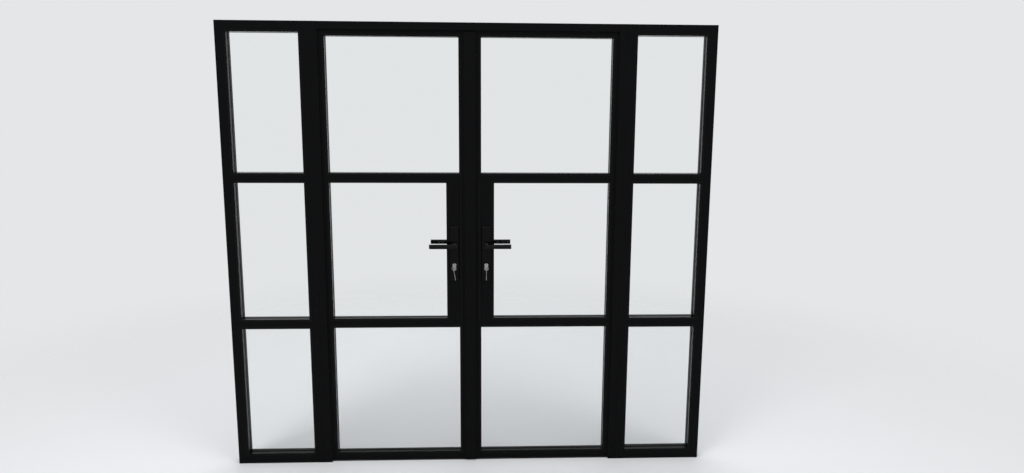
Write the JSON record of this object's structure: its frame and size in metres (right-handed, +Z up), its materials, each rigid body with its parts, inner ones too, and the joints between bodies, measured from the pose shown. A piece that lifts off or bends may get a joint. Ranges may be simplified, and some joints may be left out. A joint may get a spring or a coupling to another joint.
{
  "type": "glazed double door set",
  "caption": "Glazed double door with transoms, lever handles and key cylinders, between two fixed glazed sidelights in one slim frame.",
  "frame": {"origin": "on the floor, on the line where the two leaves meet, midway through the frame's depth", "axes": "+X along the set to the right, +Y through it towards the side that the leaves open to and the hinges are on, +Z up"},
  "size_m": [2.156, 0.155, 2],
  "materials": {
    "frame_black": "black powder coat, satin",
    "handle_black": "black powder coat, satin",
    "clear_glass": "clear float glass",
    "black_rubber": "matt",
    "satin_nickel": "satin nickel",
    "dark_sill": "dark anodised"
  },
  "bodies": {
    "frame": {"left_sidelight_outer_stile": "frame_black", "left_sidelight_inner_stile": "frame_black", "left_sidelight_rails": "frame_black", "left_sidelight_transoms": "frame_black", "left_sidelight_panes": "clear_glass", "right_sidelight_outer_stile": "frame_black", "right_sidelight_inner_stile": "frame_black", "right_sidelight_rails": "frame_black", "right_sidelight_transoms": "frame_black", "right_sidelight_panes": "clear_glass", "sidelight_gaskets": "black_rubber", "sidelight_beads": "frame_black", "door_jambs": "frame_black", "door_frame_head": "frame_black", "threshold": "dark_sill", "stop_seals": "black_rubber", "hinge_frame_plates": "handle_black", "hinge_pins": "satin_nickel"},
    "left_leaf": {"left_leaf_hinge_stile": "frame_black", "left_leaf_meeting_stile": "frame_black", "left_leaf_top_rail": "frame_black", "left_leaf_bottom_rail": "frame_black", "left_leaf_transoms": "frame_black", "left_leaf_lock_box": "frame_black", "left_leaf_panes": "clear_glass", "left_leaf_gaskets": "black_rubber", "left_leaf_beads": "frame_black", "left_hinge_knuckles": "handle_black", "left_lock_case": "satin_nickel", "left_forend": "satin_nickel", "left_backplates": "handle_black", "left_cylinder_body": "satin_nickel"},
    "right_leaf": {"right_leaf_hinge_stile": "frame_black", "right_leaf_meeting_stile": "frame_black", "right_leaf_top_rail": "frame_black", "right_leaf_bottom_rail": "frame_black", "right_leaf_transoms": "frame_black", "right_leaf_lock_box": "frame_black", "right_leaf_panes": "clear_glass", "right_leaf_gaskets": "black_rubber", "right_leaf_beads": "frame_black", "right_hinge_knuckles": "handle_black", "right_lock_case": "satin_nickel", "right_forend": "satin_nickel", "right_backplates": "handle_black", "right_cylinder_body": "satin_nickel"},
    "left_lever": {"left_lever_handles": "handle_black", "left_spindle": "satin_nickel"},
    "right_lever": {"right_lever_handles": "handle_black", "right_spindle": "satin_nickel"},
    "left_latch": {"latch_bolt": "satin_nickel"},
    "left_deadbolt": {"deadbolt": "satin_nickel"},
    "right_top_bolt": {"top_shootbolt": "satin_nickel"},
    "right_bottom_bolt": {"bottom_shootbolt": "satin_nickel"},
    "left_key_turn": {"left_key_plug": "satin_nickel", "left_key": "satin_nickel"},
    "right_key_turn": {"right_key_plug": "satin_nickel", "right_key": "satin_nickel"},
    "left_spare": {"left_spare_key": "satin_nickel"},
    "right_spare": {"right_spare_key": "satin_nickel"}
  },
  "joints": [
    {"name": "left_leaf_swing", "type": "hinge", "parent": "frame", "child": "left_leaf", "pos_m": [-0.6705, 0.037, 1], "axis": [0, 0, 1], "range_deg": [0, 170]},
    {"name": "right_leaf_swing", "type": "hinge", "parent": "frame", "child": "right_leaf", "pos_m": [0.6705, 0.037, 1], "axis": [0, 0, 1], "range_deg": [-170, 0]},
    {"name": "left_lever_turn", "type": "hinge", "parent": "left_leaf", "child": "left_lever", "pos_m": [-0.072, 0.006, 1.032], "axis": [0, -1, 0], "range_deg": [0, 40], "stiffness_Nm_per_rad": 1, "springref_deg": -45.84},
    {"name": "right_lever_lift", "type": "hinge", "parent": "right_leaf", "child": "right_lever", "pos_m": [0.072, 0.006, 1.032], "axis": [0, -1, 0], "range_deg": [0, 40]},
    {"name": "left_latch_slide", "type": "slide", "parent": "left_leaf", "child": "left_latch", "axis": [-1, 0, 0], "range_m": [0, 0.011]},
    {"name": "left_deadbolt_slide", "type": "slide", "parent": "left_leaf", "child": "left_deadbolt", "axis": [1, 0, 0], "range_m": [0, 0.02]},
    {"name": "right_top_bolt_slide", "type": "slide", "parent": "right_leaf", "child": "right_top_bolt", "axis": [0, 0, 1], "range_m": [0, 0.01]},
    {"name": "right_bottom_bolt_slide", "type": "slide", "parent": "right_leaf", "child": "right_bottom_bolt", "axis": [0, 0, -1], "range_m": [0, 0.007]},
    {"name": "left_key_turn", "type": "hinge", "parent": "left_leaf", "child": "left_key_turn", "pos_m": [-0.072, 0.006, 0.94], "axis": [0, 1, 0], "range_deg": [0, 360]},
    {"name": "right_key_turn", "type": "hinge", "parent": "right_leaf", "child": "right_key_turn", "pos_m": [0.072, 0.006, 0.94], "axis": [0, -1, 0], "range_deg": [0, 360]},
    {"name": "left_spare_key_swing", "type": "hinge", "parent": "left_key_turn", "child": "left_spare", "pos_m": [-0.072, -0.0455, 0.9387], "axis": [1, 0, 0], "range_deg": [-60, 10]},
    {"name": "right_spare_key_swing", "type": "hinge", "parent": "right_key_turn", "child": "right_spare", "pos_m": [0.072, -0.0455, 0.9387], "axis": [1, 0, 0], "range_deg": [-60, 10]}
  ],
  "couplings": [
    {"joint": "left_latch_slide", "follows": "left_lever_turn", "m_per_rad": 0.015756},
    {"joint": "left_deadbolt_slide", "follows": "left_key_turn", "m_per_rad": 0.003183},
    {"joint": "right_top_bolt_slide", "follows": "right_lever_lift", "m_per_rad": 0.014323},
    {"joint": "right_bottom_bolt_slide", "follows": "right_lever_lift", "m_per_rad": 0.010026}
  ]
}
